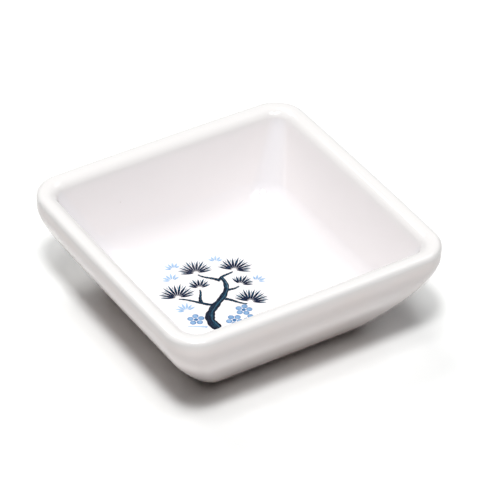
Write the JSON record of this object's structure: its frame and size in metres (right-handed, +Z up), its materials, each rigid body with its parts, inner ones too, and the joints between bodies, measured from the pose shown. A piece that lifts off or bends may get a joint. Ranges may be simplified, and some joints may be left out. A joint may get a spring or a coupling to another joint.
{
  "type": "soy sauce dish",
  "caption": "Small square dipping dish with thick rounded walls, a low foot ring, white glaze and a blue pine and plum print on the floor of its well.",
  "frame": {"origin": "centre of the foot ring's resting plane", "axes": "+Z up, out of the well; X and Y along the square sides"},
  "size_m": [0.084, 0.084, 0.032],
  "materials": {
    "bare_clay": "matt, fine-grained fired clay",
    "white_glaze": "glossy",
    "base_glaze": "glossy",
    "print_indigo": "glossy print",
    "print_deep_blue": "glossy print",
    "print_mid_blue": "glossy print",
    "print_pale_blue": "glossy print"
  },
  "bodies": {
    "root": {"clay_body": "bare_clay", "glaze_coat": "white_glaze", "base_glaze": "base_glaze", "print_branch": "print_indigo", "print_needles": "print_deep_blue", "print_blossoms": "print_mid_blue", "print_sprays": "print_pale_blue"}
  },
  "joints": []
}
